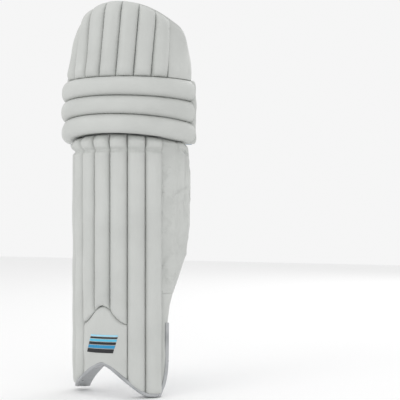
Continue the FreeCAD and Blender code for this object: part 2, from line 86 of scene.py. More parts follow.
EDGE, PITCH, CHANNELS = -70.0, 17.8, 7  # degrees round the leg axis
SHIN_END = EDGE + CHANNELS * PITCH
BASE, SEAM, CREST = 92, 104.5, 113.5
LINING_RADIUS = 86  # leg side of the shin's lining, where the bolsters start
KNEE_LEFT, KNEE_RIGHT = -80.0, 86.0
FLAP_PITCH, FLAP_FIRST = 15.4, -52.2
FLAP_BASE, FLAP_SEAM, FLAP_CREST = 109, 119, 127.5
FLAP_LEAN = math.tan(math.radians(5.5))
DOME_CENTRE = 16  # middle of the flap's dome, across
HEAD_STITCH = 445  # stitch line under the puffed channel heads
ROLL_FRONT = 118.7  # where the knee seams' heights are taken, from the axis


# ---- shapes
def smooth_max(a, b, k):
    return (a + b + np.sqrt((a - b) ** 2 + k * k)) / 2


def smooth_min(a, b, k):
    return (a + b - np.sqrt((a - b) ** 2 + k * k)) / 2


def line_through(x, x0, z0, x1, z1):
    return z0 + (x - x0) * (z1 - z0) / (x1 - x0)


def bottom_edge(x):
    """Height of the pad's bottom outline: a narrow lobe, the instep arch and a broad lobe."""
    left_side = line_through(x, -111, 46, -99, 0)
    rise = line_through(x, -99, 0, -11, 67)
    fall = line_through(x, -11, 67, 64, 0)
    right_side = line_through(x, 92, 0, 108, 44)
    arch = smooth_min(rise, fall, 19)
    low = smooth_max(smooth_max(arch, left_side, 7), right_side, 10)
    return BOTTOM + smooth_max(low, 0 * x, 6)


def instep_seam(x):
    """Height of the arched seam that ends the channels over the instep, with its two shoulders."""
    return 128 + 37 * np.exp(-((x + 12) / 31) ** 2)


def seam_height(front_z, tilt, radius, angle):
    """A knee seam: level at the front and drooping to the back by its tilt."""
    y = -radius * np.cos(np.radians(angle))
    return front_z - math.tan(math.radians(tilt)) * (y + ROLL_FRONT)


KNEE_SEAMS = [(574.6, 1.0), (541.2, 3.6), (508.4, 7.2), (474.6, 8.8)]


def dome_fraction(x):
    """Height of the flap's outline as a share of its rise; the side over the wing is a little fuller."""
    t = np.clip(np.abs(x) / 127, 0, 1)
    return np.sqrt(1 - t ** np.where(x > 0, 2.35, 1.95))


def dome_height(angle):
    """Upper edge of the top flap, a dome seen from the front, found for a leaning flap."""
    z = np.full_like(angle, KNEE_TOP + 60)
    for _ in range(14):
        x = FLAP_BASE * np.sin(np.radians(angle)) + (z - KNEE_TOP) * FLAP_LEAN - DOME_CENTRE
        z = 0.5 * z + 0.5 * (KNEE_TOP + (DOME_TOP - KNEE_TOP) * dome_fraction(x))
    return z - 33 * np.clip((np.abs(angle) - 66) / 20, 0, 1) ** 2.2


def dome_room(angle, z):
    """How far a point of the flap is from the dome's edge, whichever way is nearer."""
    x = FLAP_BASE * np.sin(np.radians(angle)) + (z - KNEE_TOP) * FLAP_LEAN - DOME_CENTRE
    whole = (1 - np.hypot(x / 127, (z - KNEE_TOP) / (DOME_TOP - KNEE_TOP))) * 130
    return np.minimum(whole, (dome_height(angle) - z) * np.where(np.abs(angle) > 66, 0.6, 1.0))


WING_TURN = math.radians(42)
WING_RIGHT = (math.cos(WING_TURN), math.sin(WING_TURN), 0)
WING_OUT = (math.sin(WING_TURN), -math.cos(WING_TURN), 0)
ROOT_ANGLE = math.radians(SHIN_END)
WING_ROOT = (AXIS_X + 90 * math.sin(ROOT_ANGLE), AXIS_Y - 90 * math.cos(ROOT_ANGLE), 0)


def wing_spot(along, proud, z=0.0):
    """A point of the wing: along it from its root, proud of its inner face, up."""
    return tuple(r + along * a + proud * o for r, a, o in zip(WING_ROOT, WING_RIGHT, WING_OUT))[:2] + (z,)


# ---- surface waves
def waves(a, b, length, count, seed):
    """Smooth seeded unevenness over two coordinates, about -1 to 1."""
    draw = np.random.default_rng(seed)
    total = np.zeros(np.broadcast(a, b).shape)
    for _ in range(count):
        heading = draw.uniform(0, math.pi)
        k = 2 * math.pi / (length * draw.uniform(0.6, 1.7))
        total += np.sin(k * (a * math.cos(heading) + b * math.sin(heading)) + draw.uniform(0, 6.3))
    return total / math.sqrt(count)


def crown(t, flat=2.4, fall=0.6):
    """1 on the middle line of a channel and 0 at its seams, t from -1 to 1."""
    return np.power(np.clip(1 - np.abs(t) ** flat, 0, 1), fall)


def ease(distance, reach):
    """A quarter-round: 0 at an edge, 1 from reach inwards."""
    t = np.clip(distance / reach, 0, 1)
    return np.sqrt(np.clip(1 - (1 - t) ** 2, 0, 1))


def rounded(u, v, across, along, reach):
    """Rounding of a pad of half sizes across and along at its four edges, u and v from -1 to 1."""
    return ease((1 - np.abs(u)) * across, reach) * ease((1 - np.abs(v)) * along, reach)


def bell(distance, width):
    """A soft bump: 1 at no distance, falling away over its width."""
    return np.exp(-(distance / width) ** 2)


def fade_in(distance, reach):
    """0 up to no distance, rising straight to 1 at reach."""
    return np.clip(distance / reach, 0, 1)


def spread(count, crowd):
    """Parameters from 0 to 1, closer together at both ends."""
    t = np.linspace(0, 1, count)
    return t + crowd * (-np.sin(2 * math.pi * t)) / (2 * math.pi)


# ---- mesh makers
def grid_faces(rows, columns, first, flip):
    i, j = np.meshgrid(np.arange(rows - 1), np.arange(columns - 1), indexing="ij")
    a = (first + i * columns + j).ravel()
    quads = np.stack([a, a + columns, a + columns + 1, a + 1], axis=1)
    return quads[:, ::-1] if flip else quads


def rim(rows, columns):
    """Indices round the edge of a grid, in order."""
    top = list(range(columns))
    right = [i * columns + columns - 1 for i in range(1, rows)]
    low = [(rows - 1) * columns + j for j in range(columns - 2, -1, -1)]
    left = [i * columns for i in range(rows - 2, 0, -1)]
    return np.array(top + right + low + left)


def into_scene(name, data, place=(0, 0, 0), turn=(0, 0, 0)):
    obj = bpy.data.objects.new(name, data)
    obj.location, obj.rotation_euler = place, turn
    bpy.context.scene.collection.objects.link(obj)
    return obj


def new_object(name, vertices, faces, uvs):
    """A smooth closed mesh from points and cloth coordinates in millimetres, its faces turned outwards."""
    mesh = bpy.data.meshes.new(name)
    mesh.from_pydata((vertices * METRES).tolist(), [], [tuple(int(i) for i in f) for f in faces])
    mesh.update()
    layer = mesh.uv_layers.new(name="cloth")
    loops = np.zeros(len(mesh.loops), int)
    mesh.loops.foreach_get("vertex_index", loops)
    layer.data.foreach_set("uv", (uvs[loops] * METRES).astype(np.float32).ravel())
    mesh.polygons.foreach_set("use_smooth", [True] * len(mesh.polygons))
    made = bmesh.new()
    made.from_mesh(mesh)
    if made.calc_volume(signed=True) < 0:
        bmesh.ops.reverse_faces(made, faces=made.faces)
        made.to_mesh(mesh)
    made.free()
    return into_scene(name, mesh)


GRIDS = {}  # rows and columns of each closed sheet


def closed_sheet(name, front, back):
    """A closed solid between two grids of points that face each other."""
    rows, columns = front.shape[:2]
    count = rows * columns
    du = np.linalg.norm(np.diff(front, axis=0), axis=2)
    dv = np.linalg.norm(np.diff(front, axis=1), axis=2)
    u = np.vstack([np.zeros((1, columns)), np.cumsum(du, axis=0)])
    v = np.hstack([np.zeros((rows, 1)), np.cumsum(dv, axis=1)])
    uv = np.stack([u.mean(axis=1)[:, None] + 0 * u, v.mean(axis=0)[None, :] + 0 * v], axis=2).reshape(-1, 2)
    edge = rim(rows, columns)
    following = np.roll(edge, -1)
    walls = np.stack([edge, following, following + count, edge + count], axis=1)
    faces = np.vstack([grid_faces(rows, columns, 0, False), grid_faces(rows, columns, count, True), walls])
    points = np.vstack([front.reshape(-1, 3), back.reshape(-1, 3)])
    obj = new_object(name, points, faces, np.vstack([uv, uv]))
    GRIDS[obj.name] = (rows, columns)
    return obj


def unit(vectors):
    return vectors / np.linalg.norm(vectors, axis=1)[:, None]


def run_along(points):
    """Distance along a run of points, from 0 at the first."""
    return np.concatenate([[0], np.cumsum(np.linalg.norm(np.diff(points, axis=0), axis=1))])


def ringed(name, rings, uvs):
    """A closed solid through rings of points, capped at both ends."""
    rows, sides = rings.shape[:2]
    faces = [(i + j, i + (j + 1) % sides, i + sides + (j + 1) % sides, i + sides + j)
             for i in range(0, (rows - 1) * sides, sides) for j in range(sides)]
    faces += [tuple(range(sides))[::-1], tuple((rows - 1) * sides + j for j in range(sides))]
    return new_object(name, rings.reshape(-1, 3), faces, uvs)


def polar(radius, angle, z, lean=0.0):
    """Points round the leg axis; lean shifts them sideways as they rise above the knee."""
    turn = np.radians(angle)
    x = AXIS_X + radius * np.sin(turn) + (z - KNEE_TOP) * lean
    y = AXIS_Y - radius * np.cos(turn)
    return np.stack(np.broadcast_arrays(x, y, z), axis=2)


def polar_pad(name, angles, low, high, base, height, across, along, lean=0.0, crowd=(0.55, 0.3),
              inward=False):
    """A pad round the leg axis: height(u, v, angle, z) stands off its base radius, u and v from -1 to 1."""
    u = spread(across, crowd[0])[:, None]
    v = spread(along, crowd[1])[None, :]
    angle = angles[0] + (angles[1] - angles[0]) * u
    z_low = low(angle) if callable(low) else low
    z_high = high(angle) if callable(high) else high
    z = z_low + (z_high - z_low) * v
    angle = angle + 0 * v
    rise = height(2 * u - 1, 2 * v - 1, angle, z)
    sign = -1 if inward else 1
    front = polar(base + sign * rise, angle, z, lean)
    back = polar(base + 0 * rise, angle, z, lean)
    return closed_sheet(name, front, back)


def flat_pad(name, origin, right, out, outline, height, across, along, lift=None):
    """A pad on an upright plane: outline(v) gives its left and right ends, v from 0 to 1 going up."""
    u = spread(across, 0.55)[:, None]
    v = spread(along, 0.3)[None, :]
    left, far, z = outline(v)
    x = left + (far - left) * u
    z = z + (lift(x, v) if lift else 0 * u)
    rise = height(2 * u - 1, 2 * v - 1, x, z)
    plane = np.array(origin) + x[..., None] * np.array(right) + z[..., None] * np.array((0, 0, 1))
    return closed_sheet(name, plane + rise[..., None] * np.array(out), plane)


def tube(name, path, radius, sides=10):
    """A closed rope along points, with rounded ends."""
    points = np.array(path, float)
    tangents = unit(np.gradient(points, axis=0))
    side = unit(np.cross(tangents, [0.3, 0.2, 1.0]))
    other = np.cross(tangents, side)
    turn = np.linspace(0, 2 * math.pi, sides, endpoint=False)[None, :, None]
    size = np.full(len(points), radius)
    size[0] = size[-1] = radius * 0.55
    spokes = np.cos(turn) * side[:, None, :] + np.sin(turn) * other[:, None, :]
    return ringed(name, points[:, None, :] + size[:, None, None] * spokes, np.zeros((len(points) * sides, 2)))


# ---- materials
def srgb(*values):
    """Colour from its 0-255 screen values."""
    shares = [value / 255 for value in values]
    return tuple(v / 12.92 if v <= 0.04 else ((v + 0.055) / 1.055) ** 2.4 for v in shares) + (1.0,)


class Shader:
    """A small helper that wires nodes into one Principled material."""

    def __init__(self, name, colour, roughness, sheen=0.0, specular=0.5):
        self.material = bpy.data.materials.new(name)
        self.material.use_nodes = True
        self.material.diffuse_color = colour
        self.tree = self.material.node_tree
        self.shader = self.tree.nodes["Principled BSDF"]
        self.shader.inputs["Base Color"].default_value = colour
        self.shader.inputs["Roughness"].default_value = roughness
        self.shader.inputs["Specular IOR Level"].default_value = specular
        if sheen:
            self.shader.inputs["Sheen Weight"].default_value = sheen
            self.shader.inputs["Sheen Roughness"].default_value = 0.5

    def node(self, kind, **settings):
        made = self.tree.nodes.new("ShaderNode" + kind)
        for key, value in settings.items():
            if key in made.inputs:
                made.inputs[key].default_value = value
            else:
                setattr(made, key, value)
        return made

    def link(self, source, target):
        self.tree.links.new(source, target)
        return target.node

    def place(self, uv=False):
        """Rest coordinates of the piece, or its cloth coordinates, in metres."""
        if uv:
            return self.node("UVMap", uv_map="cloth").outputs["UV"]
        return self.node("TexCoord").outputs["Object"]

    def noise(self, scale, detail=2.0, uv=False, rough=0.5):
        made = self.node("TexNoise", Scale=scale, Detail=detail, Roughness=rough)
        self.link(self.place(uv), made.inputs["Vector"])
        return made.outputs["Fac"]

    def cells(self, scale):
        made = self.node("TexVoronoi", feature="F1", Scale=scale)
        self.link(self.place(), made.inputs["Vector"])
        return made.outputs["Distance"]

    def axes(self, uv=False):
        """The same place as three separate numbers."""
        made = self.node("SeparateXYZ")
        self.link(self.place(uv), made.inputs["Vector"])
        return made.outputs

    def thread(self, along, pitch):
        """A sine that repeats at its pitch, in metres."""
        return self.math("SINE", self.times(along, 2 * math.pi / pitch))

    def times(self, first, second):
        return self.math("MULTIPLY", first, second)

    def plus(self, first, second):
        return self.math("ADD", first, second)

    def ramp(self, source, stops, constant=False):
        made = self.node("ValToRGB")
        made.color_ramp.interpolation = "CONSTANT" if constant else "LINEAR"
        while len(made.color_ramp.elements) < len(stops):
            made.color_ramp.elements.new(0.5)
        for element, (position, colour) in zip(made.color_ramp.elements, stops):
            element.position = position
            element.color = colour
        self.link(source, made.inputs["Fac"])
        return made.outputs["Color"]

    def math(self, operation, first, second=0.0):
        made = self.node("Math", operation=operation)
        for index, value in enumerate((first, second)):
            if isinstance(value, (int, float)):
                made.inputs[index].default_value = value
            else:
                self.link(value, made.inputs[index])
        return made.outputs[0]

    def bump(self, height, distance, strength=1.0, over=None):
        made = self.node("Bump", Distance=distance, Strength=strength)
        self.link(height, made.inputs["Height"])
        if over is not None:
            self.link(over, made.inputs["Normal"])
        self.link(made.outputs["Normal"], self.shader.inputs["Normal"])
        return made.outputs["Normal"]

    def colour(self, source):
        self.link(source, self.shader.inputs["Base Color"])

    def roughness(self, source, low, high):
        made = self.node("MapRange")
        made.inputs["To Min"].default_value = low
        made.inputs["To Max"].default_value = high
        self.link(source, made.inputs["Value"])
        self.link(made.outputs["Result"], self.shader.inputs["Roughness"])


def grained(name, light, dark, roughness, cell, depth, broad=14.0):
    """Leather-look facing: faint colour drift, fine pebbled grain and soft creases."""
    s = Shader(name, light, roughness)
    s.colour(s.ramp(s.noise(broad, 3.0), [(0.32, dark), (0.62, light)]))
    height = s.plus(s.cells(1.0 / cell), s.times(s.noise(2.2 / cell), 0.6))
    creased = s.bump(s.noise(120.0, 3.0, rough=0.6), 0.0006, 0.35)
    s.bump(height, depth, 0.5, over=creased)
    s.roughness(s.noise(60.0), roughness - 0.07, roughness + 0.08)
    return s.material


def woven(name, light, dark, pitch, depth, roughness=0.85, sheen=0.3):
    """Plain woven or brushed lining cloth on the piece's own cloth coordinates."""
    s = Shader(name, light, roughness, sheen)
    s.colour(s.ramp(s.noise(35.0, 3.0), [(0.3, dark), (0.65, light)]))
    x, y, _ = s.axes(uv=True)
    weave = s.times(s.thread(x, pitch), s.thread(y, pitch))
    s.bump(s.plus(weave, s.times(s.noise(1800.0), 1.2)), depth, 0.6)
    return s.material


def spacer_mesh(name, light, dark, wide, tall, size):
    """Spacer mesh: staggered dark openings in a pale knit."""
    s = Shader(name, light, 0.8, 0.2)
    x, y, _ = s.axes(uv=True)
    row = s.math("DIVIDE", y, tall)
    shift = s.times(s.math("MODULO", s.math("ABSOLUTE", s.math("FLOOR", row)), 2.0), 0.5)
    column = s.plus(s.math("DIVIDE", x, wide), shift)
    across, up = (s.math("ABSOLUTE", s.math("SUBTRACT", s.math("FRACT", part), 0.5))
                  for part in (column, row))
    diamond = s.plus(across, s.times(up, 0.62))
    s.colour(s.ramp(diamond, [(size - 0.03, dark), (size + 0.03, light)]))
    s.bump(s.plus(s.math("MINIMUM", diamond, size + 0.05), s.times(s.noise(1500.0), 0.4)), 0.0012, 0.8)
    return s.material


STRAP_STRIPES = [(0.0, "blue"), (0.085, "pale"), (0.125, "blue"), (0.235, "navy"), (0.265, "blue"),
                 (0.36, "black"), (0.405, "teal"), (0.43, "black"), (0.475, "black"), (0.51, "teal"),
                 (0.545, "black"), (0.62, "teal"), (0.65, "navy"), (0.745, "teal"), (0.775, "black")]
INKS = {"black": srgb(24, 25, 29), "navy": srgb(18, 42, 62), "teal": srgb(52, 138, 160),
        "blue": srgb(40, 142, 190), "pale": srgb(160, 218, 242), "cyan": srgb(90, 190, 222),
        "grey": srgb(120, 122, 126)}


def webbing(name, low, high):
    """Striped strap webbing: its stripes run along it, its ribs across it, with painted shade in the weave's
    low points.
    """
    s = Shader(name, INKS["blue"], 0.72, 0.15)
    part = s.math("DIVIDE", s.math("SUBTRACT", s.axes()[2], low), high - low)
    wobble = s.times(s.math("SUBTRACT", s.noise(420.0, 1.0), 0.5), 0.02)
    stripe = s.ramp(s.plus(part, wobble), [(at, INKS[ink]) for at, ink in STRAP_STRIPES], True)
    x, y, _ = s.axes(uv=True)
    weave = s.times(s.thread(x, 0.0021), s.thread(y, 0.0012))
    # painted shade: the stripe colour is darkened in the weave's low points, on top of the weave's bump
    painted_rib_shade = s.node("MixRGB", blend_type="MULTIPLY", Fac=0.45)
    s.link(stripe, painted_rib_shade.inputs["Color1"])
    s.link(s.ramp(weave, [(0.0, (0.45, 0.47, 0.5, 1)), (0.6, (1, 1, 1, 1))]), painted_rib_shade.inputs["Color2"])
    s.colour(painted_rib_shade.outputs["Color"])
    s.bump(weave, 0.0005, 0.8)
    return s.material


def pile(name, colour):
    """Hook-and-loop pile: matte, with short coarse fibres."""
    s = Shader(name, colour, 0.95, 0.35)
    loops = s.cells(900.0)
    s.bump(loops, 0.0012, 0.9)
    s.colour(s.ramp(loops, [(0.1, srgb(48, 49, 53)), (0.6, colour)]))
    return s.material


def printed(name, colour):
    """Screen print: a thin slightly glossy ink film."""
    s = Shader(name, colour, 0.5)
    s.bump(s.noise(1600.0), 0.0002, 0.4)
    s.roughness(s.noise(300.0), 0.42, 0.6)
    return s.material


FACING = grained("facing", srgb(198, 200, 197), srgb(191, 193, 190), 0.46, 0.0013, 0.00022)
BINDING = grained("binding", srgb(178, 180, 182), srgb(158, 160, 162), 0.3, 0.0010, 0.00015, 40.0)
BINDING.node_tree.nodes["Principled BSDF"].inputs["Metallic"].default_value = 0.55
LINING = woven("lining", srgb(214, 213, 214), srgb(207, 206, 208), 0.0011, 0.00018)
LOCATOR = woven("locator_knit", srgb(207, 207, 208), srgb(188, 188, 190), 0.0031, 0.0007)
CREAM = grained("wing_lining", srgb(214, 208, 201), srgb(205, 198, 190), 0.5, 0.0014, 0.0002)
MESH = spacer_mesh("spacer_mesh", srgb(212, 216, 215), srgb(60, 78, 80), 0.0050, 0.0025, 0.32)
PILE = pile("hook_and_loop", srgb(22, 23, 26))
PRINTS = {ink: printed("print_" + ink, INKS[ink]) for ink in ("black", "blue", "pale", "cyan", "grey")}
BADGE = printed("badge_plate", srgb(214, 214, 220))


def settle(obj, spare=0.035, pressure=3.0, cap=0.0022, frames=12):
    """Cloth simulation of a padded piece: its face swells and wrinkles, its seams and its back are held.
    The spare cloth is a share of its size; the cap is how far a point may move, in metres."""
    rows, columns = GRIDS[obj.name]
    count = rows * columns
    rest = np.array([v.co for v in obj.data.vertices])
    held = obj.vertex_groups.new(name="held")
    held.add([int(i) for i in rim(rows, columns)] + list(range(count, 2 * count)), 1.0, "REPLACE")
    cloth = obj.modifiers.new("cloth", "CLOTH")
    cloth.settings.vertex_group_mass = "held"
    cloth.settings.quality = 4
    cloth.settings.mass = 0.25
    cloth.settings.tension_stiffness = cloth.settings.compression_stiffness = 14
    cloth.settings.shear_stiffness = 6
    cloth.settings.bending_stiffness = 0.35
    cloth.settings.shrink_min = -spare
    cloth.settings.use_pressure = True
    cloth.settings.uniform_pressure_force = pressure
    cloth.settings.effector_weights.gravity = 0
    cloth.collision_settings.use_collision = False
    cloth.point_cache.frame_start, cloth.point_cache.frame_end = 1, frames
    scene = bpy.context.scene
    for frame_number in range(1, frames + 1):
        scene.frame_set(frame_number)
    settled = obj.evaluated_get(bpy.context.evaluated_depsgraph_get()).data
    moved = np.array([v.co for v in settled.vertices]) - rest
    reach = np.linalg.norm(moved, axis=1)[:, None]
    moved *= np.minimum(1, cap * np.tanh(reach / cap) / np.maximum(reach, 1e-9))
    obj.modifiers.remove(cloth)
    obj.vertex_groups.remove(held)
    obj.data.vertices.foreach_set("co", (rest + moved).astype(np.float32).ravel())
    obj.data.update()
    scene.frame_set(1)


def finish(obj, material, body, slot, *nodes, fill=None, blend=None, cloth=None):
    """Give a piece its material, its body and the CAD nodes that it stands for, which are hidden; a piece
    given a bend is baked where it stands and gets no body. The slot is not used.
    """
    obj.data.materials.clear()
    obj.data.materials.append(material)
    if cloth:
        settle(obj, **cloth)
    if blend:
        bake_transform(obj)
    else:
        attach(obj, body)
    if nodes:
        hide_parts(*nodes)
    return obj


# ---- shin
HEM = 6
INSET = 0.07  # degrees left between neighbouring channels


def at_bottom(radius, extra=0.0):
    return lambda angle: bottom_edge(radius * np.sin(np.radians(angle))) + extra


def at_instep(radius, extra=0.0):
    return lambda angle: instep_seam(radius * np.sin(np.radians(angle))) + extra


def at_knee_seam(index, extra=0.0):
    front_z, tilt = KNEE_SEAMS[index]
    return lambda angle: seam_height(front_z, tilt, ROLL_FRONT, angle) + extra


def pucker(u, z, seed, pitch=8.5):
    """Short creases that run in from the sewn seams."""
    drift = waves(u * 20, z, 50, 3, seed) * 1.6
    return np.abs(u) ** 3 * np.sin(2 * math.pi * z / pitch + drift)


def face(u, across, z, swell, round_over, slow, length, pinch, seed, pinch_seed):
    """A filled channel's face over its seams: its swell, slow waves, fine upright ripples and puckers."""
    uneven = slow * waves(across, z, length, 6, seed) + 0.16 * waves(across, z * 0.12, 6, 5, seed + 70)
    return (swell + uneven) * round_over + pinch * pucker(u, z, pinch_seed) * (1 - np.abs(u) ** 12)


def channel_height(seed, low, high):
    def height(u, v, angle, z):
        foot, head = z - low(angle), high(angle) - z
        stitch = bell(z - HEAD_STITCH, 3.6)
        bulge = bell(z - (HEAD_STITCH + 14), 10)
        round_over = crown(u, 1.9, 0.72 - 0.2 * bulge)
        body = face(u, angle * 1.9, z, CREST - SEAM, round_over, 0.7, 90, 0.5, seed, seed + 40)
        body = body + (4.2 * bulge - 5.6 * stitch) * np.sqrt(round_over)
        rounding = ease(head, 12) * (0.42 + 0.58 * ease(foot, 13))
        valley = 2.2 * np.abs(u) ** 9
        return (SEAM - BASE) * (0.55 + 0.45 * ease(head, 6)) + body * rounding - valley
    return height


for index in range(CHANNELS):
    first = EDGE + index * PITCH
    over_instep = 2 <= index <= 4
    low = at_instep(110, 0.6) if over_instep else at_bottom(106, HEM)
    high = at_knee_seam(3, -0.2)
    name = "shin_channel_%d" % (index + 1)
    piece = polar_pad(name + "_cover", (first + INSET, first + PITCH - INSET), low, high, BASE,
                      channel_height(index, low, high), 29, 150)
    finish(piece, FACING, "shin", "facing", name, fill=0.75, cloth={})


INSTEP_FIRST, INSTEP_LAST = EDGE + 2 * PITCH, EDGE + 5 * PITCH


def instep_height(u, v, angle, z):
    """Swell of the instep guard over its base radius, found from the angle and the height alone."""
    top = at_instep(106)(angle) - z
    foot = z - at_bottom(106)(angle)
    side = np.minimum(angle - INSTEP_FIRST, INSTEP_LAST - angle) * 1.85
    swell = 13.4 + 3.2 * ease(side, 26) * ease(top, 30)
    swell = swell + 0.8 * waves(angle * 1.9, z, 60, 5, 71)
    swell = swell - 1.5 * bell(angle + 9 - 0.16 * (z - 100), 2.4) * bell(z - 130, 20)
    edges = (0.6 + 0.4 * ease(top, 9)) * (0.8 + 0.2 * ease(foot, 7)) * (0.88 + 0.12 * ease(side, 5))
    return swell * edges


instep = polar_pad("instep_guard_cover", (INSTEP_FIRST + INSET, INSTEP_LAST - INSET), at_bottom(106, HEM),
                   at_instep(106, -0.6), BASE, instep_height, 90, 60)
finish(instep, FACING, "shin", "facing", "instep_guard", fill=0.6)


def smooth_run(values, passes):
    """Rounds the corners of a run of values, keeping its two ends."""
    values = np.array(values, float)
    for _ in range(passes):
        values[1:-1] = (values[:-2] + 2 * values[1:-1] + values[2:]) / 4
    return values


def evenly(s, z, step):
    run = run_along(np.stack([s, z], axis=1))
    at = np.linspace(0, run[-1], int(run[-1] / step))
    return np.interp(at, run, s), np.interp(at, run, z)


def on_pad(s, z):
    """Points and outward directions of the pad's middle layer; s runs round the shin, then along the wing."""
    far = np.radians(SHIN_END) * 90
    turn = np.minimum(s, far) / 90
    along = np.maximum(s - far, 0)
    points = np.stack([AXIS_X + 90 * np.sin(turn) + along * WING_RIGHT[0],
                       AXIS_Y - 90 * np.cos(turn) + along * WING_RIGHT[1], z], axis=1)
    blend = fade_in(s - far + 6, 12)[:, None]
    out = np.stack([np.sin(turn), -np.cos(turn), 0 * turn], axis=1) * (1 - blend) + np.array(WING_OUT) * blend
    return points, unit(out), blend[:, 0]


def tape(name, s, z, depth, inner, outer, sides=28):
    """Binding folded over an edge: a rounded section swept along a line on the pad."""
    points, out, blend = on_pad(s, z)
    inward = unit(np.cross(out, unit(np.gradient(points, axis=0))))
    low = inner[0] * (1 - blend) + inner[1] * blend
    high = outer[0] * (1 - blend) + outer[1] * blend
    rings = []
    for turn in np.linspace(0, 2 * math.pi, sides, endpoint=False):
        c, d = math.cos(turn), math.sin(turn)
        a, b = math.copysign(abs(c) ** 0.32, c), math.copysign(abs(d) ** 0.6, d)
        reach = (low + high) / 2 + a * (high - low) / 2
        rings.append(points + out * reach[:, None] + inward * (depth / 2 * (1 + b)))
    uv = np.stack([np.repeat(run_along(points), sides), np.tile(np.arange(sides) * 2, len(s))], axis=1)
    return ringed(name, np.stack(rings, axis=1), uv)


around = np.linspace(EDGE + 0.2, SHIN_END, 160)
strip_along = np.array([2, 6, 10, 13.2, 15.4, 16.6, 17.0, 17.2])
strip_up = np.array([6, 11, 20, 32, 46, 62, 90, 133])
line_s = np.concatenate([np.full(24, math.radians(EDGE + 0.2) * 90), np.radians(around) * 90,
                         math.radians(SHIN_END) * 90 + strip_along])
line_z = np.concatenate([np.linspace(121, 7, 24), bottom_edge(106 * np.sin(np.radians(around))), strip_up])
line_s, line_z = evenly(line_s, line_z, 1.6)
line_s, line_z = smooth_run(line_s, 14), smooth_run(line_z, 14)
binding = tape("bottom_binding_tape", line_s, line_z, 7.8, (-9.8, -2.6), (19.4, 14.6))
finish(binding, BINDING, "shin", "binding", "bottom_binding")

height_of_piping = np.linspace(58, 452, 160)
lean_of_piping = math.radians(-72.3)
piping = tube("inner_edge_piping_cover",
              [(AXIS_X + 98 * math.sin(lean_of_piping) + 0.25 * math.sin(z * 0.19),
                AXIS_Y - 98 * math.cos(lean_of_piping), z) for z in height_of_piping], 3.2, 12)
finish(piping, FACING, "shin", "facing", "inner_edge_piping", fill=0.9)

# ---- knee
ROLL_BASE, ROLL_SEAM, ROLL_CREST = 100.6, 122, 134.4


def roll_height(seed):
    def height(u, v, angle, z):
        ends = ease((1 + u) * math.radians(83) * 118, 8)
        round_over = np.power(np.clip(1 - np.abs(v + 0.06 * (1 - v * v)) ** 2.5, 0, 1), 0.6)
        body = (ROLL_CREST - ROLL_SEAM) * round_over
        body = body + 0.8 * waves(angle * 2.2, z * 0.4, 90, 6, seed) * round_over
        body = body + 0.5 * pucker(v, angle * 2.2, seed + 9, 11) * (1 - np.abs(v) ** 12)
        return (ROLL_SEAM - ROLL_BASE + body) * (0.3 + 0.7 * ends)
    return height


for index, roll in enumerate(("knee_roll_upper", "knee_roll_middle", "knee_roll_lower")):
    piece = polar_pad(roll + "_cover", (KNEE_LEFT, KNEE_RIGHT - 4.5), at_knee_seam(index + 1, 0.15),
                      at_knee_seam(index, -0.15), ROLL_BASE, roll_height(90 + index), 190, 27,
                      crowd=(0.75, 0.6))
    finish(piece, FACING, "shin", "facing", roll, fill=0.85, cloth={})


def end_height(u, v, angle, z):
    body = 22 + 10.5 * crown(u, 2.2, 0.5) * (0.55 + 0.45 * ease((1 - np.abs(v)) * 50, 12))
    return body + 0.7 * waves(u * 10, z, 30, 3, 8)


knee_end = polar_pad("knee_end_band", (KNEE_RIGHT - 4.4, KNEE_RIGHT + 0.4), at_knee_seam(3), at_knee_seam(0),
                     ROLL_BASE, end_height, 15, 60)
finish(knee_end, FACING, "shin", "facing", fill=0.7)

# ---- top flap
FLAP_START = (AXIS_X, AXIS_Y - 109, KNEE_TOP)
FLAP_STOP = (AXIS_X, AXIS_Y - 109, KNEE_TOP + 50)
FLAP_BEND = (FLAP_START, FLAP_STOP)


def dome(extra):
    return lambda angle: np.maximum(dome_height(angle) + extra, flap_foot(angle) + 5)


def flap_foot(angle):
    """Lower edge of the flap: it stays on the knee's top seam."""
    return at_knee_seam(0, 0.7)(angle)


def flap_height(seed):
    def height(u, v, angle, z):
        room = dome_room(angle, z)
        foot = z - KNEE_TOP
        round_over = crown(u, 1.9, 0.7)
        body = face(u, angle * 2, z, FLAP_CREST - FLAP_SEAM, round_over, 0.8, 70, 0.6, seed, seed + 17)
        gather = 1.3 * bell(foot - 13, 8) * round_over
        edge = ease(room, 24)
        thin = 1 - 0.55 * fade_in(np.abs(angle - 8) - 36, 12) * fade_in(z - 600, 60)
        valley = 1.8 * np.abs(u) ** 9
        filled = (FLAP_SEAM - FLAP_BASE - valley) * (0.16 + 0.84 * edge)
        return filled * thin + (body + gather) * edge * (0.3 + 0.7 * ease(foot, 10))
    return height


for index in range(CHANNELS):
    first = FLAP_FIRST + index * FLAP_PITCH
    name = "top_flap_channel_%d" % (index + 1)
    piece = polar_pad(name + "_cover", (first + INSET, first + FLAP_PITCH - INSET), flap_foot, dome(-1),
                      FLAP_BASE, flap_height(200 + index), 25, 64, lean=FLAP_LEAN)
    finish(piece, FACING, "top_flap", "facing", name, fill=0.75, blend=FLAP_BEND, cloth={})


def flap_side_height(seed):
    def height(u, v, angle, z):
        rest = 1 - 0.8 * fade_in(z - KNEE_TOP - 4, 62)
        body = 14.6 * rest + 0.7 * waves(angle * 2, z, 50, 5, seed)
        body = body + 1.0 * bell(z - KNEE_TOP - 14, 9) * np.abs(np.sin(angle / 3.1))
        return body * (0.2 + 0.8 * ease(dome_room(angle, z), 12)) * (0.82 + 0.18 * crown(u, 8, 0.5))
    return height


for name, span, seed in (("top_flap_side_inner", (KNEE_LEFT, FLAP_FIRST), 301),
                         ("top_flap_side_wing", (FLAP_FIRST + CHANNELS * FLAP_PITCH, KNEE_RIGHT), 302)):
    piece = polar_pad(name + "_cover", (span[0] + INSET, span[1] - INSET), flap_foot, dome(-1),
                      FLAP_BASE, flap_side_height(seed), 40, 40, lean=FLAP_LEAN)
    finish(piece, FACING, "top_flap", "facing", name, fill=0.6, blend=FLAP_BEND)


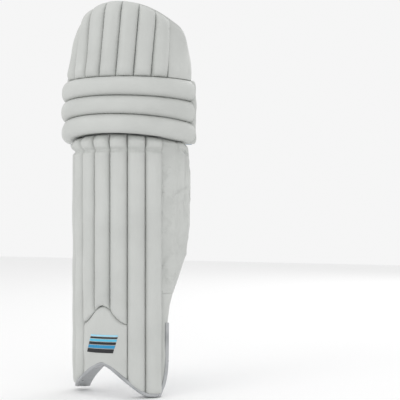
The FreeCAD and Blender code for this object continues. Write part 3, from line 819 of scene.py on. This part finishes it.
# ---- wing
WING_BEND = (wing_spot(-4, 0, 300), wing_spot(26, 0, 300))


def wing_lift(x, v):
    """The wing's upper edge follows the droop of the lowest knee seam."""
    return 0.19 * (56 - x) * v ** 6


def wing_width(z):
    """Width of the wing at a height."""
    return np.interp(z, [186, 196, 213, 256, 310, 402, 454], [26.8, 31, 38, 53, 60.5, 60.5, 56])


def strip_width(z):
    """Width of the strip below the wing at a height."""
    return np.interp(z, [6, 14, 34, 60, 133, 165, 185.5], [4, 7.5, 12.5, 16.5, 16.8, 21, 26.5])


def wing_outline(root, reach=0.0, low=WING_LOW, high=WING_HIGH + 3.5, corner=12):
    """Left and right ends of the wing at a height, its corners rounded; its top runs up to the knee."""
    def outline(v):
        z = low + (high - low) * v
        edge = wing_width(z) + reach
        edge = edge - corner * (1 - ease(high - z, corner))
        return root + 0 * z, edge, z
    return outline


def wing_height(u, v, x, z):
    """Height of the wing's struck face: a broad channel, two soft valleys and slanting folds."""
    edge = ease((1 - u) * wing_width(z) / 2, 9) * ease((1 - v) * 134, 6)
    root = 0.72 + 0.28 * ease(x, 9)
    fade = fade_in(z - 240, 80)
    valleys = 3.0 * bell(x - 34 - 2 * np.sin(z / 25), 4.5) * fade
    valleys = valleys + 2.4 * bell(x - 49, 3.5) * fade_in(z - 300, 60)
    crease = bell(z - 372 - 0.6 * (x - 40), 3.5) * fade_in(x - 26, 10)
    pull = bell(z - 438 + 0.9 * (x - 52), 4) * fade_in(x - 34, 10)
    body = (13.0 - valleys - 2.0 * crease - 2.6 * pull)
    body = body + 0.9 * waves(x, z, 60, 6, 401) + 0.35 * waves(x, z, 20, 5, 402)
    return body * (0.24 + 0.76 * edge) * root


wing = flat_pad("side_wing_cover", WING_ROOT, WING_RIGHT, WING_OUT, wing_outline(1.2),
                wing_height, 64, 190, wing_lift)
finish(wing, FACING, "wing", "facing", "side_wing", fill=0.55, blend=WING_BEND, cloth={"spare": 0.03})


def strip_outline(root, reach=0.0):
    def outline(v):
        z = 9 + (WING_LOW - 0.25 - 9) * v
        return root + 0 * z, strip_width(z) + reach, z
    return outline


def strip_height(u, v, x, z):
    edge = ease((1 - u) * strip_width(z) / 2, 9) * ease((1 + v) * 80, 9)
    root = 0.72 + 0.28 * ease(x, 9)
    body = 13.0 + 0.6 * waves(x, z, 40, 6, 411)
    return body * (0.24 + 0.76 * edge) * root


strip = flat_pad("lower_side_strip_cover", WING_ROOT, WING_RIGHT, WING_OUT, strip_outline(1.2),
                 strip_height, 26, 100)
finish(strip, FACING, "shin", "facing", "lower_side_strip", fill=0.6)

INWARD = tuple(-o for o in WING_OUT)


def split_outline(outline, low_split, high_split, outer):
    """The part of an outline on one side of a line that runs up the wing."""
    def part(v):
        left, right, z = outline(v)
        line = low_split + (high_split - low_split) * v
        return (line, right, z) if outer else (left, np.minimum(line, right - 3), z)
    return part


def lining_height(thick, seed, root=0.0):
    def height(u, v, x, z):
        edge = rounded(u, v, 20, 120, 3)
        deeper = root * np.clip(1 - x / 22, 0, 1) ** 2
        return (thick + deeper + 0.5 * waves(x, z, 50, 5, seed)) * (0.3 + 0.7 * edge)
    return height


whole_wing = wing_outline(0.8, -0.6)
for name, material, slot_name, outer, thick, root in (("side_wing_mesh", MESH, "mesh", False, 3.0, 7),
                                                      ("side_wing_lining", CREAM, "lining", True, 2.2, 0)):
    piece = flat_pad(name, WING_ROOT, WING_RIGHT, INWARD,
                     split_outline(whole_wing, 13, 37, outer), lining_height(thick, 420, root), 30, 120)
    finish(piece, material, "wing", slot_name, *(["wing_lining"] if outer else []), fill=0.3, blend=WING_BEND)
piece = flat_pad("lower_strip_lining_cover", WING_ROOT, WING_RIGHT, INWARD, strip_outline(2.5, -0.4),
                 lining_height(2.0, 421), 16, 70)
finish(piece, LINING, "shin", "lining", "lower_strip_lining", fill=0.3)

# ---- back of the shin and the knee
def soft(thick, seed, wide, tall, swell=0.8, edge=5, flat=0.15):
    """A padded lining: rounded at its edges, with slow waves."""
    def height(u, v, angle, z):
        side = rounded(u, v, wide / 2, tall / 2, edge)
        return (thick + swell * waves(angle * 1.5, z, 60, 6, seed)) * (flat + (1 - flat) * side)
    return height


def back_pad(name, angles, low, high, depth, material, slot_name, nodes, seed, fill,
             base=LINING_RADIUS, count=(40, 90), **shape):
    """A padded lining behind the shin, from its base radius towards the leg."""
    height = soft(depth, seed, math.radians(angles[1] - angles[0]) * base, **shape)
    piece = polar_pad(name, angles, low, high, base, height, *count, inward=True)
    return finish(piece, material, "shin", slot_name, *nodes, fill=fill)


def slant(middle, corner, slope):
    """Slanting end between a mesh bolster and an ankle bolster."""
    return lambda angle: middle + slope * (angle - corner)


INSTEP_TOP = 104.1  # upper edge of the instep lining
back_pad("shin_lining_cover", (-69.9, 54.5), INSTEP_TOP + 0.4, at_knee_seam(3, -0.1), 6, LINING, "lining",
         ["shin_lining", "shin_liner_board"], 501, 0.3, base=92, count=(60, 90), swell=0.3, edge=3, tall=360,
         flat=0.6)
# name, angles, lower and upper end, depth, rounding, height, seed
BACK_PADS = (("mesh_bolster_wing", (32.8, 54.2), slant(231, 33, -0.55), 453, 12.6, 6, 220, 502),
             ("mesh_bolster_inner", (-66, -33), slant(219, -66, 0.55), 452, 14, 9, 220, 503),
             ("ankle_bolster_wing", (32.8, 53.5), INSTEP_TOP, slant(230, 33, -0.55), 7.4, 7, 120, 504),
             ("ankle_bolster_inner", (-66, -33), INSTEP_TOP, slant(217, -66, 0.55), 9.6, 7, 110, 505),
             ("bolster_band_wing", (23.8, 32.6), INSTEP_TOP, 451, 7.4, 4, 340, 506),
             ("bolster_band_inner", (-32.6, -23.8), INSTEP_TOP, 451, 7.4, 4, 340, 507))
for name, span, low, high, depth, edge, tall, seed in BACK_PADS:
    mesh, band = "mesh" in name, "band" in name
    back_pad(name + "_cover", span, low, high, depth, MESH if mesh else LINING, "mesh" if mesh else "lining",
             [name + "_side"], seed, 0.6, edge=edge, tall=tall, swell=0.4 if band else 0.8,
             count=(14, 140) if band else (40, 90))


def instep_back(u, v, angle, z):
    side = ease((1 - np.abs(u)) * 92, 3)
    seams = sum(bell(angle - at, 1.3) for at in (-42, -17, 4, 28))
    return (10.4 + 0.5 * waves(angle * 1.5, z, 50, 6, 511) - 2.6 * seams) * (0.6 + 0.4 * side)


piece = polar_pad("instep_lining_cover", (-69.7, 54.4), at_bottom(106, 3.4), 104, 92, instep_back,
                  150, 40, inward=True)
finish(piece, LINING, "shin", "lining", "instep_lining", fill=0.5)


# the centre bolster: its flat face is where the shin rests
def bolster_shape(u, v, x, z):
    depth = np.sqrt(86 ** 2 - (x - AXIS_X) ** 2) - 70
    side = ease((1 - np.abs(u)) * 31, 6) * ease((1 - np.abs(v)) * 172, 8)
    return depth * (0.45 + 0.55 * side)


def bolster():
    u, v = spread(44, 0.6)[:, None], spread(150, 0.3)[None, :]
    x = AXIS_X + (2 * u - 1) * 31 + 0 * v
    z = bolster_low.z + (bolster_high.z - bolster_low.z) * v + 0 * u
    depth = bolster_shape(2 * u - 1, 2 * v - 1, x, z)
    back = np.sqrt(86 ** 2 - (x - AXIS_X) ** 2)
    return closed_sheet("centre_bolster_cover", np.stack([x, AXIS_Y - back, z], axis=2),
                        np.stack([x, AXIS_Y - back + depth, z], axis=2))


finish(bolster(), LINING, "shin", "lining", "centre_bolster", fill=0.7)

# knee: lining, hexagonal locator pad and its badge
knee_foot = at_knee_seam(3, 0.1)


def knee_back(u, v, angle, z):
    side = rounded(u, v, 125, 50, 5)
    return (9.9 + 0.4 * waves(angle * 1.7, z, 60, 6, 521)) * (0.6 + 0.4 * side)


piece = polar_pad("knee_lining_cover", (KNEE_LEFT + 0.1, KNEE_RIGHT + 0.2), knee_foot, at_knee_seam(0, 0.4),
                  100.5, knee_back, 120, 40, inward=True)
finish(piece, LINING, "shin", "lining", "knee_lining", "knee_backing_board", fill=0.4)


def hexagon_outline(points, corner, centre_x):
    """Left and right ends of a hexagon given by its right-hand corners (half width, height)."""
    widths, heights = zip(*points)

    def outline(v):
        z = heights[0] + (heights[-1] - heights[0]) * v
        half = np.interp(z, heights, widths)
        half = half - corner * (1 - ease(np.minimum(z - heights[0], heights[-1] - z), corner))
        return centre_x - half, centre_x + half, z
    return outline


def on_cylinder(name, outline, radius, height, across, along):
    """A pad behind a cylinder wall, with an outline in x and z."""
    u, v = spread(across, 0.6)[:, None], spread(along, 0.5)[None, :]
    left, right, z = outline(v)
    x = left + (right - left) * u
    z = z + 0 * u
    rise = height(2 * u - 1, 2 * v - 1, x, z)
    turn = np.degrees(np.arcsin((x - AXIS_X) / radius))
    return closed_sheet(name, polar(radius - rise, turn, z), polar(radius + 0 * rise, turn, z))


LOCATOR_CORNERS = [(46, 489), (62, 514), (23, 572)]
BADGE_CORNERS = [(14.5, 502.5), (27, 530), (14.5, 557.5)]


def locator_height(u, v, x, z):
    side = rounded(u, v, 55, 41, 9)
    return (11.2 + 0.6 * waves(x, z, 50, 5, 531)) * (0.2 + 0.8 * side)


piece = on_cylinder("knee_locator_cover", hexagon_outline(LOCATOR_CORNERS, 5, AXIS_X), 90.4,
                    locator_height, 60, 50)
finish(piece, LOCATOR, "shin", "lining", "knee_locator_pad", fill=0.7)


def badge_shape(proud, edge):
    def height(u, v, x, z):
        side = rounded(u, v, 25, 26, edge)
        return proud * (0.3 + 0.7 * side)
    return height


piece = on_cylinder("locator_badge_rim", hexagon_outline(BADGE_CORNERS, 4, AXIS_X), 79.8,
                    badge_shape(2.2, 2), 40, 34)
finish(piece, PRINTS["black"], "shin", "badge", "knee_locator_badge")
inner_corners = [(w - 3.4, 530 + (h - 530) * 0.89) for w, h in BADGE_CORNERS]
piece = on_cylinder("locator_badge_plate", hexagon_outline(inner_corners, 3, AXIS_X), 78,
                    badge_shape(1.8, 2), 34, 28)
finish(piece, BADGE, "shin", "badge")


# lining of the top flap
def flap_lining_height(u, v, angle, z):
    side = ease((1 - np.abs(u)) * 140, 5) * ease(dome_room(angle, z), 7)
    return (7.8 + 0.35 * waves(angle * 1.8, z, 60, 6, 541)) * (0.4 + 0.6 * side)


piece = polar_pad("top_flap_lining_cover", (KNEE_LEFT + 0.1, KNEE_RIGHT - 0.1), flap_foot, dome(-1),
                  108.9, flap_lining_height, 150, 70, lean=FLAP_LEAN, inward=True)
finish(piece, LINING, "top_flap", "lining", "top_flap_lining", "top_flap_foam_sheet", fill=0.4,
       blend=FLAP_BEND)


# ---- straps
def rounded_path(points, radii, step=1.5):
    """Even points along straight runs joined by tangent arcs, measured from the leg axis."""
    points = [np.array(p, float) for p in points]
    dense = [points[0]]
    for before, corner, after, radius in zip(points, points[1:], points[2:], radii):
        arrive = (corner - before) / np.linalg.norm(corner - before)
        leave = (after - corner) / np.linalg.norm(after - corner)
        cross = arrive[0] * leave[1] - arrive[1] * leave[0]
        turn = math.atan2(cross, float(arrive @ leave))
        trim = radius * math.tan(abs(turn) / 2)
        start = corner - arrive * trim
        side = math.copysign(1, turn) * np.array([-arrive[1], arrive[0]])
        centre = start + side * radius
        for t in np.linspace(0, turn, 40):
            c, s = math.cos(t), math.sin(t)
            spoke = start - centre
            dense.append(centre + np.array([c * spoke[0] - s * spoke[1], s * spoke[0] + c * spoke[1]]))
    dense.append(points[-1])
    dense = np.array(dense)
    run = run_along(dense)
    even = np.linspace(0, run[-1], int(run[-1] / step))
    return np.stack([np.interp(even, run, dense[:, 0]), np.interp(even, run, dense[:, 1])], axis=1), even


def ribbon(name, path, run, low, width, thickness, offset=0.0, slack=0.0, seed=1, rows=60, scallop=0.0):
    """Webbing on edge along a path seen from above, with rolled edges and a little sag."""
    tangent = unit(np.gradient(path, axis=0))
    normal = np.stack([tangent[:, 1], -tangent[:, 0]], axis=1)
    v = spread(rows, 0.8)[None, :]
    s = run[:, None]
    fade = np.clip(np.sin(math.pi * s / run[-1]), 0, 1) ** 0.7
    z = low + width * v + slack * fade * waves(s, 0 * v, 160, 4, seed)
    z = z + scallop * np.abs(np.sin(math.pi * s / 5)) * np.clip(v * 8 - 7, 0, 1)
    buckle = slack * 0.5 * fade * waves(s, z, 70, 5, seed + 1)
    half = thickness / 2 * (0.35 + 0.65 * ease((1 - np.abs(2 * v - 1)) * width / 2, 1.6)) + 0 * s
    sides = []
    for way in (1, -1):
        reach = offset + buckle + way * half
        sides.append(np.stack([AXIS_X + path[:, 0][:, None] + normal[:, 0][:, None] * reach,
                               AXIS_Y + path[:, 1][:, None] + normal[:, 1][:, None] * reach, z], axis=2))
    return closed_sheet(name, *sides)


def wing_line(along):
    spot = wing_spot(along, -5.6)
    return spot[0] - AXIS_X, spot[1] - AXIS_Y


def part_of(path, run, low, high):
    keep = (run >= low) & (run <= high)
    return path[keep], run[keep] - run[keep][0]


STRAPS = (
    ("calf_strap", [(-97, -24.8), (0, 1), wing_line(12), wing_line(58)], [150, 24],
     310, 65, 26, 14.6, 0),
    ("ankle_strap", [(-97, -24.8), (0, -4), wing_line(-6), wing_line(27)], [130, 16],
     113.5, 65, 18, 6, 7),
    ("knee_strap", [(-112, -13.9), (0, 4.4), (60, 0.4), (118, 0.4)],
     [300, 400], 457, 33, 34, 12, 0),
)
for number, (name, points, radii, low, width, hook, sewn, shorter) in enumerate(STRAPS):
    path, run = rounded_path(points, radii)
    path, run = part_of(path, run, 0, run[-1] - shorter)
    cloth = webbing(name + "_cloth", low * METRES, (low + width) * METRES)
    piece = ribbon(name + "_webbing", path, run, low, width, 2.6, slack=0.7, seed=600 + 10 * number,
                   scallop=0.5)
    finish(piece, cloth, name, "webbing", name)
    tail, tail_run = part_of(path, run, run[-1] - hook, run[-1] - 1)
    piece = ribbon(name + "_hook_pile", tail, tail_run, low + 3, width - 6, 1.2, offset=1.9,
                   seed=650, rows=30)
    finish(piece, PILE, name, "hook_and_loop", name + "_hook_patch")
    # the folded, sewn end on the pad
    steps = ((sewn, 2.2), (sewn / 2, 0.8), (1.9, 0.4))
    fold, fold_run = rounded_path([(points[0][0] - x, points[0][1] - y) for x, y in steps], [8], 0.6)
    piece = ribbon(name + "_sewn_end", fold, fold_run, low, width, 3.6, seed=660, rows=40)
    finish(piece, cloth, "shin", "webbing", name + "_anchor")


def patch(name, origin, right, out, across, low, high, proud, body, node_name, blend=None):
    """A rounded rectangle of pile sewn flat."""
    def outline(v):
        z = low + (high - low) * v
        trim = 3 * (1 - ease(np.minimum(z - low, high - z), 3))
        return across[0] + trim, across[1] - trim, z

    def height(u, v, x, z):
        edge = rounded(u, v, 10, 30, 1)
        return proud * (0.4 + 0.6 * edge)
    piece = flat_pad(name, origin, right, out, outline, height, 20, 40)
    return finish(piece, PILE, body, "hook_and_loop", node_name, blend=blend)


patch("calf_loop_pile", wing_spot(0, -1.6), WING_RIGHT, INWARD, (21, 57), 304, 381, 1.5,
      "wing", "calf_loop_patch", WING_BEND)
patch("ankle_loop_pile", wing_spot(0, -1.6), WING_RIGHT, INWARD, (5, 17.5), 107, 184.5, 1.5,
      "shin", "ankle_loop_patch")
patch("knee_loop_pile", (AXIS_X, AXIS_Y - 5.2, 0), (1, 0, 0), (0, 1, 0), (92, 122), 458.5, 496,
      2.7, "shin", "knee_loop_patch")

# ---- generic prints
PROUD = 0.45  # ink over the cloth


def print_bars(name, ink, bars, surface, body, slot_name, blend=None):
    """Bars of one ink: each is four corners in x and z, and surface lifts it onto the cloth."""
    made = []
    for (x0, z0), (x1, z1), (x2, z2), (x3, z3) in bars:
        u, v = np.linspace(0, 1, 40)[:, None], np.linspace(0, 1, 8)[None, :]
        x = (x0 * (1 - u) + x1 * u) * (1 - v) + (x3 * (1 - u) + x2 * u) * v
        z = (z0 * (1 - u) + z1 * u) * (1 - v) + (z3 * (1 - u) + z2 * u) * v
        made.append(closed_sheet(name, surface(x, z, PROUD), surface(x, z, -0.5)))
    return finish(joined(name, made), PRINTS[ink], body, slot_name, blend=blend)


def joined(name, objects):
    """One object from several, which are removed."""
    whole = bmesh.new()
    for obj in objects:
        whole.from_mesh(obj.data)
        mesh = obj.data
        bpy.data.objects.remove(obj)
        bpy.data.meshes.remove(mesh)
    mesh = bpy.data.meshes.new(name)
    whole.to_mesh(mesh)
    whole.free()
    return into_scene(name, mesh)


def on_instep(x, z, proud):
    angle = np.degrees(np.arcsin((x - AXIS_X) / 108))
    for _ in range(3):
        radius = BASE + instep_height(0, 0, angle, z)
        angle = np.degrees(np.arcsin((x - AXIS_X) / radius))
    return polar(radius + proud, angle, z)


def slanted(x, z, wide, tall, slope=0.0, cut=0.0):
    """Four corners of a bar that starts at x and z, climbs by slope and has its ends cut aslant."""
    right, rise, shift = x + wide, slope * wide, cut * tall
    return [(x, z), (right, z + rise), (right + shift, z + rise + tall), (x + shift, z + tall)]


instep_inks, z = {}, 80
for ink, tall in (("black", 7), ("blue", 5.6), ("black", 4.6), ("cyan", 4), ("black", 3), ("pale", 2.6)):
    instep_inks.setdefault(ink, []).append(slanted(AXIS_X - 46 + 0.3 * (z - 80), z, 56, tall, 0.02, 0.3))
    z += (tall + 1.1)
for ink, found in instep_inks.items():
    print_bars("instep_badge_" + ink, ink, found, on_instep, "shin", "badge")


def on_flap_lining(x, z, proud):
    angle = np.degrees(np.arcsin((x - AXIS_X - (z - KNEE_TOP) * FLAP_LEAN) / 101))
    u = 2 * (angle - KNEE_LEFT) / (KNEE_RIGHT - KNEE_LEFT) - 1
    return polar(108.9 - flap_lining_height(u, 0, angle, z) - proud, angle, z, FLAP_LEAN)


def on_bolster(x, z, proud):
    flat = (x - AXIS_X) / 31
    tall = 2 * (z - bolster_low.z) / (bolster_high.z - bolster_low.z) - 1
    y = AXIS_Y - np.sqrt(86 ** 2 - (x - AXIS_X) ** 2) + bolster_shape(flat, tall, x, z) + proud
    return np.stack(np.broadcast_arrays(x, y, z), axis=2)


def stripes(name, rows, dark_rows, top, pitch, blues, start, bar, gap, dark, surface, body, blend=None):
    """Rows of a blue bar with a thin dark one beside it. Where a measure changes from row to row, it is given
    as its first value and its change; blues says in which rows the blue turns cyan and then pale."""
    inks = {}
    for row in range(rows):
        z = top - row * pitch
        ink = "blue" if row < blues[0] else "cyan" if row < blues[1] else "pale"
        left, wide, tall, beside, thin_wide, thin_tall = (
            first + change * row for first, change in (start, *bar, gap, *dark))
        inks.setdefault(ink, []).append(slanted(AXIS_X + left, z, wide, tall, 0, -0.5))
        if row < dark_rows[1]:
            ink = "black" if row < dark_rows[0] else "grey"
            inks.setdefault(ink, []).append(slanted(AXIS_X + left + beside, z, thin_wide, thin_tall, 0, -0.5))
    for ink, found in inks.items():
        print_bars(name + ink, ink, found, surface, body, "lining", blend=blend)


stripes("flap_lining_stripes_", 17, (8, 11), 682, 5.6, (6, 12), (-4, 2.9), ((31, -0.5), (4.3, -0.14)),
        (35, -0.5), ((24, -1.6), (2.2, -0.1)), on_flap_lining, "top_flap", FLAP_BEND)
stripes("bolster_stripes_", 15, (0, 7), 304, 4.4, (5, 10), (-24, 2.2), ((18, 0), (2.6, -0.1)),
        (21, 0), ((22, -2.2), (1.1, 0)), on_bolster, "shin")


# ---- inner parts that stay hidden
FOAM = woven("foam", srgb(214, 206, 178), srgb(196, 187, 158), 0.0016, 0.0003, 0.95, 0.0)
CANE = grained("cane", srgb(202, 170, 112), srgb(168, 132, 80), 0.5, 0.0012, 0.0002, 60.0)
for node_name, material in (("shin_canes", CANE), ("knee_roll_cores", FOAM)):
    for cad in bpy.context.scene.objects:
        if cad.get("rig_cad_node") == node_name:
            cad.data.materials.clear()
            cad.data.materials.append(material)

# ---- floor, light and camera
floor = into_scene("floor", bpy.data.meshes.new("floor"))
floor.data.from_pydata([(-4, -4, 0), (4, -4, 0), (4, 4, 0), (-4, 4, 0)], [], [(0, 1, 2, 3)])
pale = Shader("floor_pale", srgb(243, 243, 243), 0.9).material
floor.data.materials.append(pale)

world = bpy.data.worlds.new("studio")
bpy.context.scene.world = world
world.use_nodes = True
world.node_tree.nodes["Background"].inputs["Color"].default_value = (1, 1, 1, 1)
world.node_tree.nodes["Background"].inputs["Strength"].default_value = 0.92


def area_light(name, spot, size, power, aim=(0, 0, 0.35)):
    light = bpy.data.lights.new(name, "AREA")
    light.shape = "RECTANGLE"
    light.size, light.size_y = size
    light.energy = power
    into_scene(name, light, spot, (Vector(aim) - Vector(spot)).to_track_quat("-Z", "Y").to_euler())


area_light("key", (-1.3, -2.6, 1.9), (1.6, 1.6), 13)
area_light("fill", (2.4, -1.8, 1.2), (1.8, 1.8), 4)
area_light("top", (0.1, -0.2, 2.8), (1.6, 1.6), 6)
area_light("behind", (0.6, 2.6, 1.6), (1.8, 1.8), 12)

camera_data = bpy.data.cameras.new("camera")
camera_data.sensor_width = 36
camera_data.lens = 95.3
CAMERA_TURN, CAMERA_DISTANCE = math.radians(25), 2.0
bpy.context.scene.camera = into_scene(
    "camera", camera_data, (AXIS_X * METRES + CAMERA_DISTANCE * math.sin(CAMERA_TURN),
                            AXIS_Y * METRES - CAMERA_DISTANCE * math.cos(CAMERA_TURN), 0.355),
    (math.radians(90), 0, CAMERA_TURN - math.radians(3.6)))
bpy.context.scene.view_settings.view_transform = "Standard"

bpy.context.view_layer.update()
